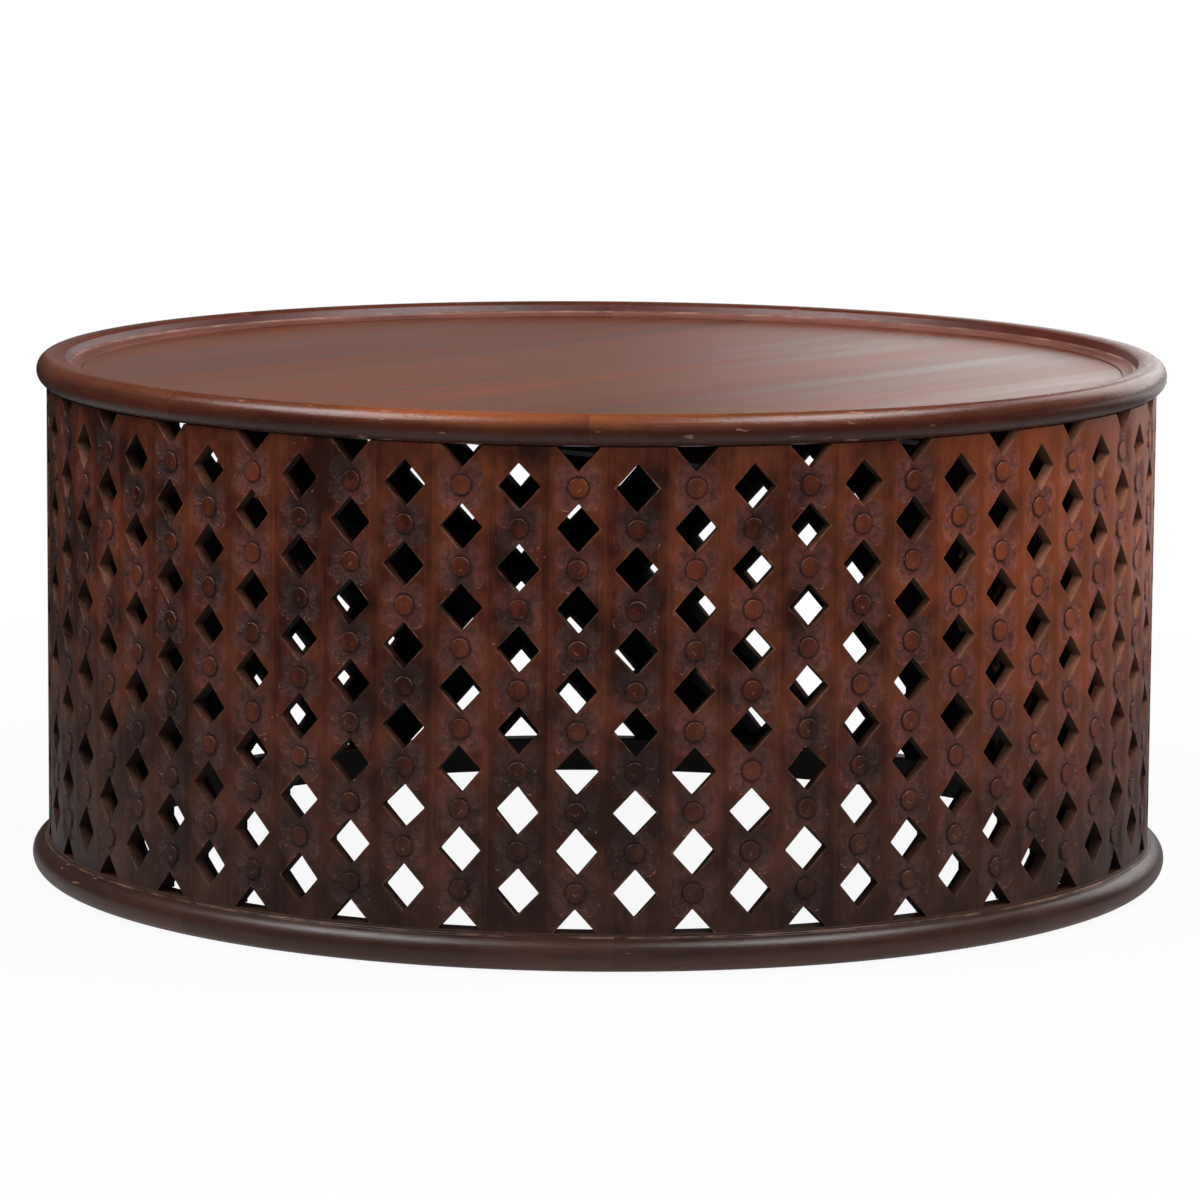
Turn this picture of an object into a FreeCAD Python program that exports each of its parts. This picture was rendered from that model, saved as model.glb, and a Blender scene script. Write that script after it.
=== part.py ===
import FreeCAD, Part
import math
import os
import Sketcher

# A round carved drum table: 64 pierced staves stand on a half-round base ring and carry a
# tray top, whose rounded rim laps over a round panel of edge-glued boards.
# Millimetres, +Z up, origin at the middle of the floor circle, front towards -Y.

doc = FreeCAD.newDocument("drum_table")

# Driving sizes, each written once. Names that end in "count" are numbers of copies, names
# that end in "turn" are degrees about the vertical axis.
SIZES = {
    # wall of staves
    "wall_radius": 442,
    "stave_thickness": 20,
    "pair_count": 32,
    "row_pitch": 60,
    "row_count": 6,
    # openings and carving in the staves
    "diamond_width": 31.5,
    "diamond_height": 35,
    "button_radius": 7,
    "groove_width": 2.6,
    "petal_radius": 9.4,
    "petal_offset": 7.9,
    "carving_depth": 2,
    # base ring
    "base_height": 28,
    "base_overhang": 13,
    "base_width": 31,
    "base_segment_count": 8,
    "base_turn": 3.7,
    # tray rim
    "rim_height": 24,
    "rim_overhang": 8,
    "rim_face_width": 23,
    "rim_wall_depth": 7.5,
    "rim_wall_slope": 2,
    "ledge_width": 1.5,
    "cove_width": 9,
    "cove_sag": 1.2,
    "lip_thickness": 2,
    "rim_segment_count": 8,
    "rim_turn": 1,
    # round panel of boards, lying in the rim's rabbet
    "panel_thickness": 12,
    "panel_bearing": 8,
    "panel_gap": 0.5,
    "rebate_depth": 1,
    "board_count": 6,
    "panel_turn": 52,
    # battens under the boards
    "batten_width": 45,
    "batten_height": 22,
    "batten_spacing": 230,
    "batten_end_gap": 2,
    "batten_chamfer": 4,
    # wood screws through the battens
    "screw_length": 30,
    "screw_radius": 1.75,
    "screw_head_radius": 4,
    "screw_head_height": 3,
    "screw_tip": 4,
    "screw_slot_width": 0.9,
    "screw_slot_depth": 1.2,
    "screw_edge_margin": 8,
    "screw_fit": 0.1,
    # cleats in the corner between wall and panel
    "cleat_height": 14,
    "cleat_depth": 24,
    "cleat_length": 30,
    "cleat_count": 8,
    # dowels across the joints of both rings
    "dowel_radius": 4,
    "dowel_length": 36,
    "dowel_fit": 0.1,
    "dowel_end_gap": 1,
}

sheet = doc.addObject("Spreadsheet::Sheet", "sizes")
for row, (alias, number) in enumerate(SIZES.items(), start=1):
    sheet.set("A%d" % row, alias)
    sheet.set("B%d" % row, str(number))
    sheet.setAlias("B%d" % row, alias)
doc.recompute()


class Size:
    """A number together with the sheet formula that gives it."""

    def __init__(self, value, text):
        self.value = value
        self.text = text

    def join(self, other, sign, value):
        return Size(value, "(%s %s %s)" % (self.text, sign, as_size(other).text))

    def __add__(self, other):
        return self.join(other, "+", self.value + as_size(other).value)

    def __sub__(self, other):
        return self.join(other, "-", self.value - as_size(other).value)

    def __mul__(self, other):
        return self.join(other, "*", self.value * as_size(other).value)

    def __truediv__(self, other):
        return self.join(other, "/", self.value / as_size(other).value)

    def __neg__(self):
        return Size(-self.value, "(0 - %s)" % self.text)


def as_size(number):
    return number if isinstance(number, Size) else Size(number, repr(number))


def cell(alias):
    return Size(float(sheet.get(alias)), "sizes." + alias)


def root(size):
    return Size(math.sqrt(size.value), "sqrt(%s)" % size.text)


def sine(degrees):
    return Size(math.sin(math.radians(degrees.value)), "sin(%s)" % degrees.text)


def cosine(degrees):
    return Size(math.cos(math.radians(degrees.value)), "cos(%s)" % degrees.text)


ZERO = as_size(0)

# Derived sizes

wall_radius = cell("wall_radius")
wall_inner_radius = wall_radius - cell("stave_thickness")
wall_bottom = cell("base_height")
wall_height = cell("row_pitch") * cell("row_count")
wall_top = wall_bottom + wall_height
half_stave_turn = as_size(90) / cell("pair_count")
stave_turn = half_stave_turn * 2
groove_radius = cell("button_radius") + cell("groove_width")

base_radius = wall_radius + cell("base_overhang")
base_inner_radius = base_radius - cell("base_width")

rim_radius = wall_radius + cell("rim_overhang")
rim_top = wall_top + cell("rim_height")
panel_radius = wall_inner_radius + cell("panel_bearing")
panel_top = wall_top + cell("panel_thickness")
rebate_level = panel_top - cell("rebate_depth")
batten_bottom = wall_top - cell("batten_height")
board_width = panel_radius * 2 / cell("board_count")


# Helpers for bodies and sketches

def body_named(name):
    body = doc.addObject("PartDesign::Body", name)
    body.Label = name
    return body


def origin_feature(body, role):
    return [f for f in body.Origin.OriginFeatures if f.Role == role][0]


def sketch_on(body, name, plane, offset=None, turn=0):
    """A sketch on an origin plane, moved along its normal by offset, turned about Z."""
    sketch = body.newObject("Sketcher::SketchObject", name)
    sketch.AttachmentSupport = [(origin_feature(body, plane), "")]
    sketch.MapMode = "FlatFace"
    spin = FreeCAD.Rotation(FreeCAD.Vector(0, 1, 0), turn)
    sketch.AttachmentOffset = FreeCAD.Placement(FreeCAD.Vector(), spin)
    if offset is not None:
        sketch.setExpression("AttachmentOffset.Base.z", offset.text)
    return sketch


def fix(sketch, kind, geometry, point, size):
    index = sketch.addConstraint(Sketcher.Constraint(kind, geometry, point, size.value))
    sketch.setExpression("Constraints[%d]" % index, size.text)


def arc_between(start, end, centre):
    """The arc from start to end about centre, and whether it was drawn end first."""
    from_centre = [math.atan2(p[1].value - centre[1].value, p[0].value - centre[0].value)
                   for p in (start, end)]
    middle = FreeCAD.Vector(centre[0].value, centre[1].value, 0)
    radius = math.hypot(start[0].value - centre[0].value, start[1].value - centre[1].value)
    circle = Part.Circle(middle, FreeCAD.Vector(0, 0, 1), radius)
    sweep = (from_centre[1] - from_centre[0]) % (2 * math.pi)
    backwards = sweep > math.pi + 0.001
    first, last = reversed(from_centre) if backwards else from_centre
    return Part.ArcOfCircle(circle, first, last), backwards


def outline(sketch, corners):
    """A closed outline. A corner is (x, y), or (x, y, centre) where an arc leaves it."""
    ends = []
    for here, after in zip(corners, corners[1:] + corners[:1]):
        start, end = here[:2], after[:2]
        if len(here) == 3:
            curve, backwards = arc_between(start, end, here[2])
            ends.append((sketch.addGeometry(curve), 2 if backwards else 1))
        else:
            points = [FreeCAD.Vector(p[0].value, p[1].value, 0) for p in (start, end)]
            ends.append((sketch.addGeometry(Part.LineSegment(*points)), 1))
    for (line, first), (after, start) in zip(ends, ends[1:] + ends[:1]):
        sketch.addConstraint(Sketcher.Constraint("Coincident", line, 3 - first, after, start))
    for (line, first), corner in zip(ends, corners):
        fix(sketch, "DistanceX", line, first, corner[0])
        fix(sketch, "DistanceY", line, first, corner[1])
    for (line, first), here, after in zip(ends, corners, corners[1:] + corners[:1]):
        if len(here) == 3:
            upright = abs(after[1].value - here[1].value) > abs(after[0].value - here[0].value)
            axis = 0 if upright else 1
            fix(sketch, "DistanceX" if upright else "DistanceY", line, 3, here[2][axis])


def circle_at(sketch, x, y, radius):
    middle = FreeCAD.Vector(x.value, y.value, 0)
    ring = sketch.addGeometry(Part.Circle(middle, FreeCAD.Vector(0, 0, 1), radius.value))
    fix(sketch, "DistanceX", ring, 3, x)
    fix(sketch, "DistanceY", ring, 3, y)
    index = sketch.addConstraint(Sketcher.Constraint("Radius", ring, radius.value))
    sketch.setExpression("Constraints[%d]" % index, radius.text)


def pad(body, name, sketch, length, reverse=False, both_ways=False):
    feature = body.newObject("PartDesign::Pad", name)
    feature.Profile = sketch
    feature.setExpression("Length", length.text)
    feature.Reversed = reverse
    feature.Midplane = both_ways
    return feature


def pocket(body, name, sketch, depth=None, reverse=False):
    """A cut against the sketch's normal, or along it; right through without a depth."""
    feature = body.newObject("PartDesign::Pocket", name)
    feature.Profile = sketch
    feature.Reversed = reverse
    if depth is None:
        feature.Type = 1
    else:
        feature.setExpression("Length", depth.text)
    return feature


def revolve(body, name, sketch, turn):
    feature = body.newObject("PartDesign::Revolution", name)
    feature.Profile = sketch
    feature.ReferenceAxis = (origin_feature(body, "Z_Axis"), [""])
    feature.setExpression("Angle", turn.text)
    return feature


def repeat_up(body, name, features, count):
    """Repeats features up the stave, one row pitch apart."""
    pattern = body.newObject("PartDesign::LinearPattern", name)
    pattern.Originals = features
    pattern.Direction = (origin_feature(body, "Z_Axis"), [""])
    pattern.setExpression("Length", (cell("row_pitch") * (count - 1)).text)
    pattern.setExpression("Occurrences", count.text)
    body.Tip = pattern


def about_z(degrees):
    return FreeCAD.Placement(FreeCAD.Vector(), FreeCAD.Rotation(FreeCAD.Vector(0, 0, 1), degrees))


sub_parts = []


def node_of(name, links, degrees=0):
    """A sub-part made of linked shapes, turned about the table's axis."""
    group = doc.addObject("Part::Compound", name)
    group.Label = name
    group.Links = links
    group.Placement = about_z(degrees)
    sub_parts.append(group)


def sector(body, name, inner, outer, half_turn, offset):
    """The flat section between two radii, centred on +X."""
    across, along = sine(half_turn), cosine(half_turn)
    sketch = sketch_on(body, name, "XY_Plane", offset)
    outline(sketch, [
        (inner * along, -(inner * across)),
        (outer * along, -(outer * across), (ZERO, ZERO)),
        (outer * along, outer * across),
        (inner * along, inner * across, (ZERO, ZERO)),
    ])
    return sketch


# Staves. One kind has a full diamond in every row, the other is carved half a row higher,
# so that its first and last diamonds are cut in half by the base ring and the rim.

def stave_body(name, first_diamond, diamond_count, first_rosette, rosette_count):
    body = body_named(name)
    blank = sector(body, name + "_section", wall_inner_radius, wall_radius, half_stave_turn,
                   wall_bottom)
    pad(body, name + "_blank", blank, wall_height)

    half_width = cell("diamond_width") / 2
    half_height = cell("diamond_height") / 2
    diamond = sketch_on(body, name + "_diamond", "YZ_Plane")
    outline(diamond, [
        (ZERO, first_diamond - half_height),
        (half_width, first_diamond),
        (ZERO, first_diamond + half_height),
        (-half_width, first_diamond),
    ])
    opening = pocket(body, name + "_opening", diamond, reverse=True)
    repeat_up(body, name + "_openings", [opening], diamond_count)

    depth = cell("carving_depth")
    offset = cell("petal_offset")
    carving = []
    for side, slant in (("left", 1), ("right", -1)):
        petals = sketch_on(body, name + "_petals_" + side, "YZ_Plane", wall_radius)
        circle_at(petals, offset * slant, first_rosette + offset, cell("petal_radius"))
        circle_at(petals, -(offset * slant), first_rosette - offset, cell("petal_radius"))
        carving.append(pocket(body, name + "_petal_cut_" + side, petals, depth))
    groove = sketch_on(body, name + "_groove", "YZ_Plane", wall_radius)
    circle_at(groove, ZERO, first_rosette, groove_radius)
    carving.append(pocket(body, name + "_groove_cut", groove, depth))
    button = sketch_on(body, name + "_button", "YZ_Plane", wall_radius)
    circle_at(button, ZERO, first_rosette, cell("button_radius"))
    carving.append(pad(body, name + "_button_pad", button, depth, reverse=True))
    repeat_up(body, name + "_rosettes", carving, rosette_count)
    return body


half_row = cell("row_pitch") / 2
full_stave = stave_body("full_stave", wall_bottom + half_row, cell("row_count"),
                        wall_bottom + cell("row_pitch"), cell("row_count") - 1)
half_stave = stave_body("half_stave", wall_bottom, cell("row_count") + 1,
                        wall_bottom + half_row, cell("row_count"))
half_stave.Placement = about_z(stave_turn.value)

FRONT = -90
pair_count = int(SIZES["pair_count"])
for k in range(pair_count):
    node_of("stave_pair_%02d" % (k + 1), [full_stave, half_stave],
            FRONT + stave_turn.value * (2 * k + 1))


# Rings. Each segment runs from its own +X plane by its share of the circle and has a dowel
# bore in both end faces.

def ring_segment(name, corners, count, dowel_x, dowel_z):
    body = body_named(name)
    section = sketch_on(body, name + "_section", "XZ_Plane")
    outline(section, corners)
    turn = as_size(360) / count
    revolve(body, name + "_ring", section, turn)
    bore_radius = cell("dowel_radius") + cell("dowel_fit")
    bore_depth = cell("dowel_length") / 2 + cell("dowel_end_gap")
    for end, (angle, reverse) in enumerate(((0, False), (turn.value, True)), start=1):
        end_face = sketch_on(body, "%s_dowel_%d" % (name, end), "XZ_Plane", turn=angle)
        circle_at(end_face, dowel_x, dowel_z, bore_radius)
        body.Tip = pocket(body, "%s_bore_%d" % (name, end), end_face, bore_depth, reverse)
    return body


def ring_nodes(name, body, count, first_turn):
    for k in range(count):
        node_of("%s_%d" % (name, k + 1), [body], FRONT + first_turn + 360 * k / count)


base_round = cell("base_height") / 2
base_dowel_x = base_radius - cell("base_width") / 2
base_body = ring_segment("base_ring_piece", [
    (base_inner_radius, ZERO),
    (base_radius - base_round, ZERO, (base_radius - base_round, base_round)),
    (base_radius - base_round, cell("base_height")),
    (base_inner_radius, cell("base_height")),
], cell("base_segment_count"), base_dowel_x, base_round)
ring_nodes("base_ring_segment", base_body, SIZES["base_segment_count"], SIZES["base_turn"])

# The rim's outer edge is a half round. Inside, its wall drops to a narrow ledge, and a
# hollow cove sweeps from there to a thin lip that lies in the panel's rebate.
rim_round = cell("rim_height") / 2
rim_face_edge = rim_radius - cell("rim_face_width")
rim_wall_foot = rim_face_edge - cell("rim_wall_slope")
ledge_edge = rim_wall_foot - cell("ledge_width")
ledge_level = rim_top - cell("rim_wall_depth")
cove_foot = ledge_edge - cell("cove_width")
lip_level = rebate_level + cell("lip_thickness")
rabbet_radius = panel_radius + cell("panel_gap")
cove_drop = ledge_level - lip_level
cove_run = cell("cove_width")
cove_chord = root(cove_drop * cove_drop + cove_run * cove_run)
cove_radius = (cove_chord * cove_chord / 4 + cell("cove_sag") * cell("cove_sag")) / cell("cove_sag") / 2
cove_reach = (cove_radius - cell("cove_sag")) / cove_chord
cove_centre = ((ledge_edge + cove_foot) / 2 - cove_drop * cove_reach,
               (ledge_level + lip_level) / 2 + cove_run * cove_reach)
rim_body = ring_segment("rim_piece", [
    (rabbet_radius, wall_top),
    (rim_radius - rim_round, wall_top, (rim_radius - rim_round, wall_top + rim_round)),
    (rim_radius - rim_round, rim_top),
    (rim_face_edge, rim_top),
    (rim_wall_foot, ledge_level),
    (ledge_edge, ledge_level, cove_centre),
    (cove_foot, lip_level),
    (cove_foot, rebate_level),
    (rabbet_radius, rebate_level),
], cell("rim_segment_count"), rim_radius - rim_round, wall_top + rim_round)
ring_nodes("rim_segment", rim_body, SIZES["rim_segment_count"], SIZES["rim_turn"])


# Dowels across the joints of both rings

def dowel_at(name, x, z, degrees):
    """A dowel along the tangent at a joint, centred on the joint."""
    dowel = doc.addObject("Part::Cylinder", name)
    dowel.setExpression("Radius", "sizes.dowel_radius")
    dowel.setExpression("Height", "sizes.dowel_length")
    start = FreeCAD.Vector(x.value, SIZES["dowel_length"] / 2, z.value)
    lying = FreeCAD.Placement(start, FreeCAD.Rotation(FreeCAD.Vector(1, 0, 0), 90))
    dowel.Placement = about_z(degrees) * lying
    return dowel


dowels = []
for ring, count, first_turn, x, z in (
    ("base", SIZES["base_segment_count"], SIZES["base_turn"], base_dowel_x, base_round),
    ("rim", SIZES["rim_segment_count"], SIZES["rim_turn"], rim_radius - rim_round,
     wall_top + rim_round),
):
    for k in range(count):
        angle = FRONT + first_turn + 360 * k / count
        dowels.append(dowel_at("%s_dowel_pin_%d" % (ring, k + 1), x, z, angle))
node_of("ring_dowels", dowels)


# Screws, head down, and the slightly wider bores that take them

def screw_body(name, fit, slotted):
    body = body_named(name)
    section = sketch_on(body, name + "_section", "XZ_Plane")
    head = cell("screw_head_height")
    shank = cell("screw_radius") + fit
    outline(section, [
        (ZERO, batten_bottom),
        (cell("screw_head_radius"), batten_bottom),
        (shank, batten_bottom + head),
        (shank, batten_bottom + cell("screw_length") - cell("screw_tip")),
        (ZERO, batten_bottom + cell("screw_length") + fit),
    ])
    revolve(body, name + "_turned", section, as_size(360))
    if slotted:
        slot = sketch_on(body, name + "_slot", "XY_Plane", batten_bottom)
        half_slot = cell("screw_slot_width") / 2
        reach = cell("screw_head_radius")
        outline(slot, [
            (-reach, -half_slot),
            (reach, -half_slot),
            (reach, half_slot),
            (-reach, half_slot),
        ])
        body.Tip = pocket(body, name + "_slot_cut", slot, cell("screw_slot_depth"), reverse=True)
    return body


screw = screw_body("wood_screw", ZERO, True)
screw_bore = screw_body("screw_bore", cell("screw_fit"), False)

# Battens run across the boards. In their own frame the boards lie along X and the battens
# along Y, and each finished piece is turned by panel_turn.

batten_places = {"left": -1, "middle": 0, "right": 1}


def batten_half_length(place):
    corner = cell("batten_spacing") * abs(place) + cell("batten_width") / 2
    reach = wall_inner_radius - cell("batten_end_gap")
    return root(reach * reach - corner * corner)


screw_spots = []
for place in batten_places.values():
    for board in range(int(SIZES["board_count"])):
        for quarter_share in (1, 3):
            y = board_width.value * (board + quarter_share / 4) - panel_radius.value
            if abs(y) < batten_half_length(place).value - SIZES["screw_edge_margin"]:
                screw_spots.append((SIZES["batten_spacing"] * place, y))


def at_spots(name, body):
    copies = []
    for k, (x, y) in enumerate(screw_spots, start=1):
        copy = doc.addObject("Part::Compound", "%s_%d" % (name, k))
        copy.Links = [body]
        copy.Placement = FreeCAD.Placement(FreeCAD.Vector(x, y, 0), FreeCAD.Rotation())
        copies.append(copy)
    return copies


bores = doc.addObject("Part::Compound", "screw_bores")
bores.Links = at_spots("bore", screw_bore)
node_of("batten_screws", at_spots("screw", screw), SIZES["panel_turn"])


def bored(name, blank):
    """The blank less the screw bores, turned to where the panel lies."""
    piece = doc.addObject("Part::Cut", name)
    piece.Label = name
    piece.Base = blank
    piece.Tool = bores
    piece.Placement = about_z(SIZES["panel_turn"])
    sub_parts.append(piece)


for side, place in batten_places.items():
    body = body_named(side + "_batten_blank")
    middle = cell("batten_spacing") * place
    half = cell("batten_width") / 2
    section = sketch_on(body, side + "_batten_section", "XZ_Plane")
    chamfer = cell("batten_chamfer")
    outline(section, [
        (middle - half, wall_top),
        (middle - half, batten_bottom + chamfer),
        (middle - half + chamfer, batten_bottom),
        (middle + half - chamfer, batten_bottom),
        (middle + half, batten_bottom + chamfer),
        (middle + half, wall_top),
    ])
    pad(body, side + "_batten_length", section, batten_half_length(place) * 2, both_ways=True)
    bored("batten_" + side, body)

# Panel boards: strips of one disc, whose upper edge is rebated for the rim's lip

disc_steps = []
for name, radius, top in (("panel_edge", panel_radius, rebate_level),
                          ("panel_face", cove_foot - cell("panel_gap"), panel_top)):
    step = doc.addObject("Part::Cylinder", name)
    step.setExpression("Radius", radius.text)
    step.setExpression("Height", (top - wall_top).text)
    step.setExpression("Placement.Base.z", wall_top.text)
    disc_steps.append(step)
disc = doc.addObject("Part::Fuse", "panel_disc")
disc.Base, disc.Tool = disc_steps

for k in range(int(SIZES["board_count"])):
    strip = doc.addObject("Part::Box", "panel_strip_%d" % (k + 1))
    strip.setExpression("Length", (panel_radius * 2).text)
    strip.setExpression("Width", board_width.text)
    strip.setExpression("Height", "sizes.panel_thickness")
    strip.setExpression("Placement.Base.x", (-panel_radius).text)
    strip.setExpression("Placement.Base.y", (board_width * k - panel_radius).text)
    strip.setExpression("Placement.Base.z", wall_top.text)
    blank = doc.addObject("Part::Common", "panel_blank_%d" % (k + 1))
    blank.Base = disc
    blank.Tool = strip
    bored("top_board_%d" % (k + 1), blank)

# Cleats behind full staves, clear of the batten ends

cleat = body_named("cleat")
half_cleat_turn = cell("cleat_length") / wall_inner_radius * (90 / math.pi)
cleat_section = sector(cleat, "cleat_section", wall_inner_radius - cell("cleat_depth"),
                       wall_inner_radius, half_cleat_turn, wall_top - cell("cleat_height"))
pad(cleat, "cleat_block", cleat_section, cell("cleat_height"))
cleats = []
pairs_between = pair_count // int(SIZES["cleat_count"])
FIRST_CLEAT_PAIR = 2
for k in range(int(SIZES["cleat_count"])):
    copy = doc.addObject("Part::Compound", "cleat_%d" % (k + 1))
    copy.Links = [cleat]
    pair = FIRST_CLEAT_PAIR + pairs_between * k
    copy.Placement = about_z(FRONT + stave_turn.value * (2 * pair + 1))
    cleats.append(copy)
node_of("corner_cleats", cleats)

doc.recompute()

# Nothing is written unless every object and every sub-part is sound.

for item in doc.Objects:
    faults = {"Invalid", "Error"} & set(item.State)
    if faults:
        raise RuntimeError("%s is %s" % (item.Name, ", ".join(sorted(faults))))
for piece in sub_parts:
    if piece.Shape.isNull() or not piece.Shape.isValid():
        raise RuntimeError(piece.Label + " has no valid shape")

os.makedirs("parts", exist_ok=True)
for piece in sub_parts:
    piece.Shape.exportStep("parts/%s.step" % piece.Label)
    print("%-24s %3d solid(s) %12.1f mm3" % (piece.Label, len(piece.Shape.Solids), piece.Shape.Volume))
print("%d sub-parts, %.1f mm across and %.1f mm high" % (len(sub_parts), base_radius.value * 2,
                                                       rim_top.value))
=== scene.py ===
# %% [markdown]
# # A carved drum table
# The table is a tray on a drum of 64 upright staves. Each stave is pierced by diamonds and
# carved with rosettes, and everything is stained red-brown and varnished by hand.
# CAD has already fixed every size and place, so the file starts by loading that model as a
# frame.

# %% Load the CAD frame
import math
import random

import bmesh
import bpy
from mathutils import Matrix, Vector


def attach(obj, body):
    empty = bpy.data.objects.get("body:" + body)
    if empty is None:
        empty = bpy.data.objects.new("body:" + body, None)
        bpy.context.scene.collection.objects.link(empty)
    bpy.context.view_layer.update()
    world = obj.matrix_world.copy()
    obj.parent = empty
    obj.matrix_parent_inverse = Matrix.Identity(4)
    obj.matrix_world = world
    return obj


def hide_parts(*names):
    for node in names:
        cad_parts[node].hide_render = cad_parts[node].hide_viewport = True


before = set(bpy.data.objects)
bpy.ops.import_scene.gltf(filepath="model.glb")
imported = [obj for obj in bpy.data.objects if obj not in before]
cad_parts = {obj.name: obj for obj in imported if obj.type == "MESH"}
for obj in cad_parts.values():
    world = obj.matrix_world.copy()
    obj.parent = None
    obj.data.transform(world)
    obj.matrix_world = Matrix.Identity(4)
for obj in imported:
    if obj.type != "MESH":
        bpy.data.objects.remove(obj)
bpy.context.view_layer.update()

MM = 0.001

# %% [markdown]
# ## The camera
# The photograph was taken with a long lens from a little above the tray. Its place comes from
# fitting the rows of diamonds, both rims and both edges of the wall to a pinhole camera, so
# the numbers are exact to about two pixels. The camera looks at the table's axis.

# %% Place the camera
IMAGE_SIDE = 1200
LENS_PIXELS = 5976.4
CAMERA_ANGLE = math.radians(-87.867)
CAMERA_DISTANCE, CAMERA_HEIGHT = 4.7537, 0.8986
PITCH, ROLL = 0.143403, 0.007429

back = Vector((math.cos(CAMERA_ANGLE) * math.cos(PITCH),
               math.sin(CAMERA_ANGLE) * math.cos(PITCH), math.sin(PITCH)))
level_right = Vector((-math.sin(CAMERA_ANGLE), math.cos(CAMERA_ANGLE), 0))
level_up = back.cross(level_right)
right = math.cos(ROLL) * level_right + math.sin(ROLL) * level_up
up = math.cos(ROLL) * level_up - math.sin(ROLL) * level_right

camera_data = bpy.data.cameras.new("photo_camera")
camera_data.sensor_width = 36
camera_data.lens = camera_data.sensor_width * LENS_PIXELS / IMAGE_SIDE
camera = bpy.data.objects.new("photo_camera", camera_data)
bpy.context.scene.collection.objects.link(camera)
camera.matrix_world = Matrix((
    (right.x, up.x, back.x, CAMERA_DISTANCE * math.cos(CAMERA_ANGLE)),
    (right.y, up.y, back.y, CAMERA_DISTANCE * math.sin(CAMERA_ANGLE)),
    (right.z, up.z, back.z, CAMERA_HEIGHT),
    (0, 0, 0, 1),
))
bpy.context.scene.camera = camera
bpy.context.scene.view_settings.view_transform = "Standard"
print("lens %.1f mm" % camera_data.lens)

# %% [markdown]
# ## Helpers for shader nodes
# A finish is a tree of nodes. Written out in full, a tree is hundreds of lines, so a small
# class adds one node per call, and takes each input as a number, a colour or the output of
# an earlier node. Colours are written as they are read off a screen, from 0 to 255.

# %% Node helpers
def paint(red, green, blue):
    """A screen colour as the linear colour that a socket takes."""
    linear = [(c / 255 / 12.92) if c <= 10 else ((c / 255 + 0.055) / 1.055) ** 2.4
              for c in (red, green, blue)]
    return (*linear, 1)


class Nodes:
    """Adds nodes to one tree."""

    def __init__(self, tree):
        self.tree = tree

    def feed(self, socket, value):
        if isinstance(value, bpy.types.NodeSocket):
            self.tree.links.new(value, socket)
        else:
            socket.default_value = value

    def give(self, sockets, **values):
        for name, value in values.items():
            self.feed(sockets[name.replace("_", " ")], value)

    def add(self, kind, settings=None, **values):
        node = self.tree.nodes.new("ShaderNode" + kind)
        for name, value in (settings or {}).items():
            setattr(node, name, value)
        self.give(node.inputs, **values)
        return node

    def math(self, operation, *values, kind="Math"):
        node = self.add(kind, {"operation": operation})
        for socket, value in zip(node.inputs, values):
            self.feed(socket, value)
        return node.outputs[0]

    def plus(self, first, second):
        return self.math("ADD", first, second)

    def minus(self, first, second):
        return self.math("SUBTRACT", first, second)

    def times(self, first, second):
        return self.math("MULTIPLY", first, second)

    def times_plus(self, first, second, third):
        return self.math("MULTIPLY_ADD", first, second, third)

    def length(self, x, y):
        return self.math("SQRT", self.plus(self.times(x, x), self.times(y, y)))

    def fit(self, value, low, high, start=0.0, end=1.0, smooth=False):
        """Value read on the range low to high and written on start to end."""
        node = self.add("MapRange", {"interpolation_type": "SMOOTHSTEP" if smooth else "LINEAR"},
                        Value=value, From_Min=low, From_Max=high, To_Min=start, To_Max=end)
        return node.outputs[0]

    def mix(self, factor, first, second):
        """A mix of two colours, each an output, three screen values or four linear ones."""
        node = self.add("Mix", {"data_type": "RGBA"})
        self.feed(node.inputs[0], factor)
        for socket, colour in zip(node.inputs[6:8], (first, second)):
            screen = isinstance(colour, tuple) and len(colour) == 3
            self.feed(socket, paint(*colour) if screen else colour)
        return node.outputs[2]

    def noise(self, vector, scale, detail=2.0, roughness=0.5):
        node = self.add("TexNoise", Vector=vector, Scale=scale, Detail=detail,
                        Roughness=roughness)
        return node.outputs["Fac"]

    def chance(self, number):
        """A random value that belongs to this whole number."""
        return self.add("TexWhiteNoise", {"noise_dimensions": "1D"}, W=number).outputs["Value"]

    def scaled(self, vector, x, y, z):
        return self.add("Mapping", Vector=vector, Scale=(x, y, z)).outputs[0]

    def vector(self, x, y, z):
        return self.add("CombineXYZ", X=x, Y=y, Z=z).outputs[0]

    def split(self, vector):
        return self.add("SeparateXYZ", Vector=vector).outputs

    def finish(self, colour, roughness, surface, strength, distance, specular=0.5):
        """Feeds the tree's shader, with the height of surface as a bump."""
        bump = self.add("Bump", Strength=strength, Distance=distance, Height=surface)
        self.give(self.tree.nodes["Principled BSDF"].inputs, Base_Color=colour,
                  Roughness=roughness, Normal=bump.outputs[0], Specular_IOR_Level=specular)


def new_group(name, inputs, outputs):
    """An empty node group: its Nodes, its input sockets and the sockets to feed. Sockets named
    Vector or Grain hold places, all others hold numbers."""
    tree = bpy.data.node_groups.new(name, "ShaderNodeTree")
    for side, labels in (("INPUT", inputs), ("OUTPUT", outputs)):
        for label in labels.split():
            kind = "NodeSocketVector" if label in ("Vector", "Grain") else "NodeSocketFloat"
            tree.interface.new_socket(label, in_out=side, socket_type=kind)
    start, end = tree.nodes.new("NodeGroupInput"), tree.nodes.new("NodeGroupOutput")
    return Nodes(tree), start.outputs, end.inputs


def use_group(nodes, name, **values):
    return nodes.add("Group", {"node_tree": bpy.data.node_groups[name]}, **values).outputs


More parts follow.
